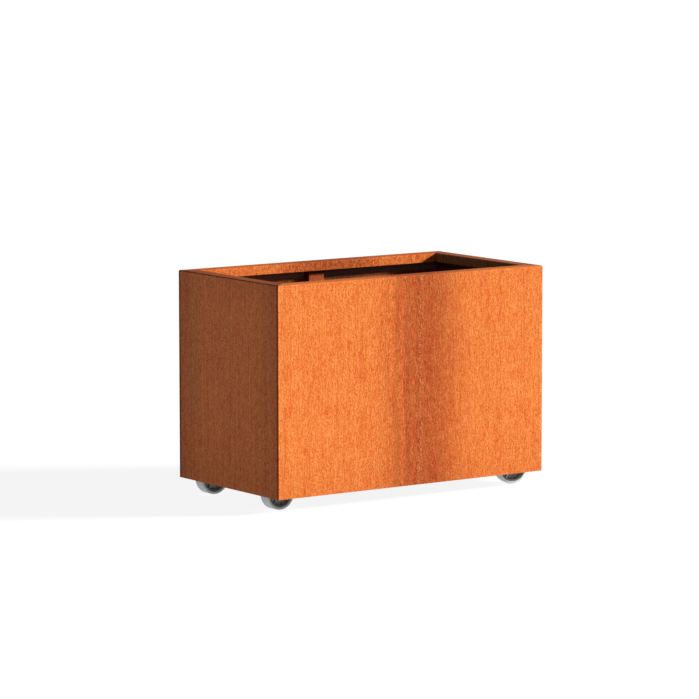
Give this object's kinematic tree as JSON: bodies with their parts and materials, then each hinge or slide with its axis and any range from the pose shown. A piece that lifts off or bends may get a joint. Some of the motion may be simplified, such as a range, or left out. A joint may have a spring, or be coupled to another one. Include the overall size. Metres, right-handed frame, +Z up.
{
  "type": "rolling planter",
  "caption": "Rectangular weathering-steel planter box with an inward-folded rim and a raised drained floor, rolling on swivel castors under its skirt.",
  "frame": {"origin": "on the ground under the middle of the box", "axes": "+X to the right along the box, +Y from the front wall to the back wall, +Z up"},
  "size_m": [1, 0.55, 0.695],
  "materials": {
    "weathering_steel": "matte",
    "weathering_steel_inside": "matte",
    "zinc_plate": "satin",
    "zinc_fastener": "satin",
    "bearing_steel": "polished",
    "hub_nylon": "satin",
    "wheel_centre_plastic": "satin",
    "grey_tyre": "matte"
  },
  "bodies": {
    "planter": {"front_panel": "weathering_steel", "back_panel": "weathering_steel", "left_panel": "weathering_steel", "right_panel": "weathering_steel", "front_stiffener": "weathering_steel", "back_stiffener": "weathering_steel", "floor_panel": "weathering_steel_inside", "left_bearer": "weathering_steel_inside", "right_bearer": "weathering_steel_inside", "front_left_castor_plate": "zinc_plate", "front_left_plate_bolts": "zinc_fastener", "front_left_plate_nuts": "zinc_fastener", "front_left_king_pin": "zinc_fastener", "front_right_castor_plate": "zinc_plate", "front_right_plate_bolts": "zinc_fastener", "front_right_plate_nuts": "zinc_fastener", "front_right_king_pin": "zinc_fastener", "back_left_castor_plate": "zinc_plate", "back_left_plate_bolts": "zinc_fastener", "back_left_plate_nuts": "zinc_fastener", "back_left_king_pin": "zinc_fastener", "back_right_castor_plate": "zinc_plate", "back_right_plate_bolts": "zinc_fastener", "back_right_plate_nuts": "zinc_fastener", "back_right_king_pin": "zinc_fastener"},
    "front_left_swivel": {"front_left_race_balls": "bearing_steel", "front_left_fork": "zinc_plate", "front_left_axle_bolt": "zinc_fastener", "front_left_axle_nut": "zinc_fastener", "front_left_axle_sleeve": "bearing_steel"},
    "front_left_wheel": {"front_left_hub_bush": "hub_nylon", "front_left_wheel_centre": "wheel_centre_plastic", "front_left_tyre": "grey_tyre"},
    "front_right_swivel": {"front_right_race_balls": "bearing_steel", "front_right_fork": "zinc_plate", "front_right_axle_bolt": "zinc_fastener", "front_right_axle_nut": "zinc_fastener", "front_right_axle_sleeve": "bearing_steel"},
    "front_right_wheel": {"front_right_hub_bush": "hub_nylon", "front_right_wheel_centre": "wheel_centre_plastic", "front_right_tyre": "grey_tyre"},
    "back_left_swivel": {"back_left_race_balls": "bearing_steel", "back_left_fork": "zinc_plate", "back_left_axle_bolt": "zinc_fastener", "back_left_axle_nut": "zinc_fastener", "back_left_axle_sleeve": "bearing_steel"},
    "back_left_wheel": {"back_left_hub_bush": "hub_nylon", "back_left_wheel_centre": "wheel_centre_plastic", "back_left_tyre": "grey_tyre"},
    "back_right_swivel": {"back_right_race_balls": "bearing_steel", "back_right_fork": "zinc_plate", "back_right_axle_bolt": "zinc_fastener", "back_right_axle_nut": "zinc_fastener", "back_right_axle_sleeve": "bearing_steel"},
    "back_right_wheel": {"back_right_hub_bush": "hub_nylon", "back_right_wheel_centre": "wheel_centre_plastic", "back_right_tyre": "grey_tyre"}
  },
  "joints": [
    {"name": "front_left_swivel_turn", "type": "hinge", "parent": "planter", "child": "front_left_swivel", "pos_m": [-0.406, -0.181, 0.104], "axis": [0, 0, 1], "continuous": true},
    {"name": "front_left_wheel_roll", "type": "hinge", "parent": "front_left_swivel", "child": "front_left_wheel", "pos_m": [-0.442, -0.181, 0.05], "axis": [0, 1, 0], "continuous": true},
    {"name": "front_right_swivel_turn", "type": "hinge", "parent": "planter", "child": "front_right_swivel", "pos_m": [0.406, -0.181, 0.104], "axis": [0, 0, 1], "continuous": true},
    {"name": "front_right_wheel_roll", "type": "hinge", "parent": "front_right_swivel", "child": "front_right_wheel", "pos_m": [0.44077, -0.19032, 0.05], "axis": [0.2588, 0.9659, 0], "continuous": true},
    {"name": "back_left_swivel_turn", "type": "hinge", "parent": "planter", "child": "back_left_swivel", "pos_m": [-0.406, 0.181, 0.104], "axis": [0, 0, 1], "continuous": true},
    {"name": "back_left_wheel_roll", "type": "hinge", "parent": "back_left_swivel", "child": "back_left_wheel", "pos_m": [-0.442, 0.181, 0.05], "axis": [0, 1, 0], "continuous": true},
    {"name": "back_right_swivel_turn", "type": "hinge", "parent": "planter", "child": "back_right_swivel", "pos_m": [0.406, 0.181, 0.104], "axis": [0, 0, 1], "continuous": true},
    {"name": "back_right_wheel_roll", "type": "hinge", "parent": "back_right_swivel", "child": "back_right_wheel", "pos_m": [0.44145, 0.18725, 0.05], "axis": [-0.1736, 0.9848, 0], "continuous": true}
  ]
}
